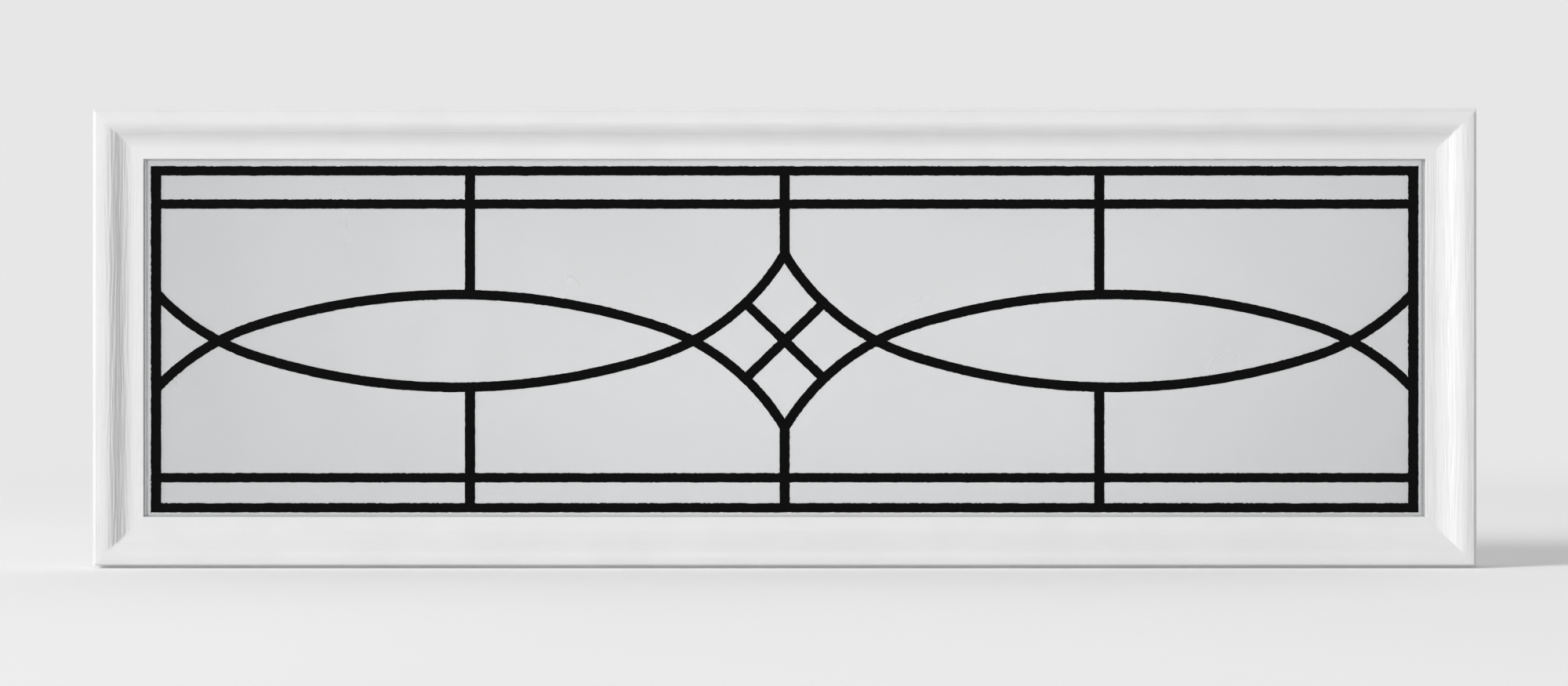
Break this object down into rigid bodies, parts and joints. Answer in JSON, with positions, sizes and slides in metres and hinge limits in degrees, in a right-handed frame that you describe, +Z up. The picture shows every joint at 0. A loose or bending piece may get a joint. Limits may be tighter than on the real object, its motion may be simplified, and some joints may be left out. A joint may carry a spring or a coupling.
{
  "type": "garage door window insert",
  "caption": "Wide glazed window insert for a sectional garage door: white ogee-moulded frame, satin double glazing, black interlaced line-work and a screwed inner frame.",
  "frame": {"origin": "middle of the window on the plane of the door's outer skin, which is the back of the outer frame's rim", "axes": "+X along the window to the right seen from outside, +Y into the door, +Z up; the outside face looks along -Y"},
  "size_m": [1.0434, 0.0537, 0.3468],
  "materials": {
    "white_moulding": "white moulded plastic with a fine embossed wood grain, low sheen",
    "black_came": "flat black",
    "satin_glass": "acid-etched satin, pale grey, no pattern",
    "clear_glass": "clear float glass with seamed corners",
    "mill_aluminium": "mill finish, roll formed",
    "grey_nylon": "moulded nylon",
    "drying_beads": "packed molecular sieve beads",
    "butyl": "soft black butyl bead",
    "sealant": "cured dark grey insulating glass sealant",
    "glazing_foam": "pale closed-cell foam tape, sticky on both sides",
    "gasket_rubber": "black extruded rubber",
    "block_rubber": "hard black rubber",
    "seal_foam": "dark grey closed-cell foam",
    "zinc_plate": "zinc plated"
  },
  "bodies": {
    "root": {"butyl_seal_front": "butyl", "butyl_seal_rear": "butyl", "came_lattice": "black_came", "corner_key_bottom_left": "grey_nylon", "corner_key_bottom_right": "grey_nylon", "corner_key_top_left": "grey_nylon", "corner_key_top_right": "grey_nylon", "desiccant_bottom": "drying_beads", "desiccant_top": "drying_beads", "edge_sealant": "sealant", "frame_screws": "zinc_plate", "glazing_gasket": "gasket_rubber", "glazing_tape": "glazing_foam", "inner_frame": "white_moulding", "inner_pane": "clear_glass", "outer_frame": "white_moulding", "outer_pane": "satin_glass", "setting_block_left": "block_rubber", "setting_block_right": "block_rubber", "skin_seal": "seal_foam", "spacer_bar_bottom": "mill_aluminium", "spacer_bar_left": "mill_aluminium", "spacer_bar_right": "mill_aluminium", "spacer_bar_top": "mill_aluminium"}
  },
  "joints": []
}
